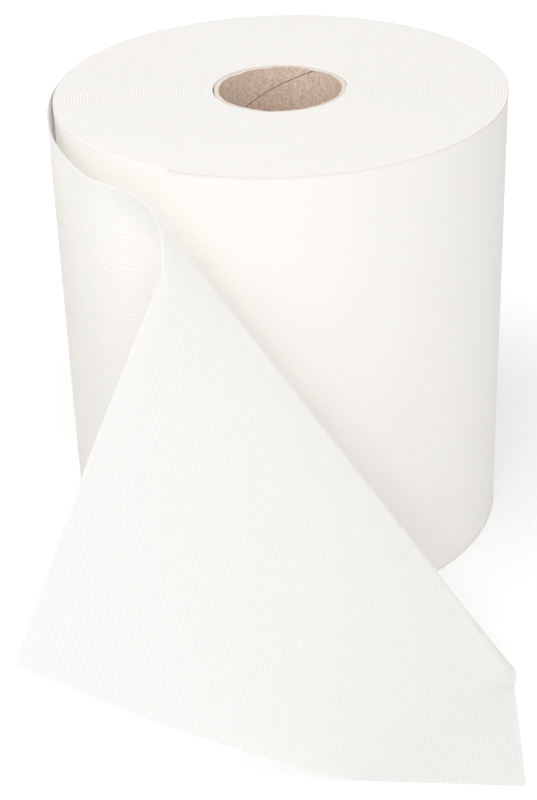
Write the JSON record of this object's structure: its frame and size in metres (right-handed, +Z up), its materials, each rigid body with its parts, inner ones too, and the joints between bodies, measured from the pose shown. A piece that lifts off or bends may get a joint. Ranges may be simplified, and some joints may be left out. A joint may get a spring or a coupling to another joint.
{
  "type": "paper towel roll",
  "caption": "Wound roll of white embossed paper towel on a brown board core, standing on its end, with its loose outer turn folded over in front at a slant and its tail on the floor.",
  "frame": {"origin": "centre of the core's bore at the end that the roll stands on", "axes": "+Z up along the roll's axis, -Y to the side where the tail is folded over, X across it"},
  "size_m": [0.1924, 0.3256, 0.201],
  "materials": {
    "core_board": "matt spiral-wound board",
    "towel_paper": "matt embossed towel paper"
  },
  "bodies": {
    "root": {"core_tube": "core_board", "towel_web": "towel_paper"}
  },
  "joints": []
}
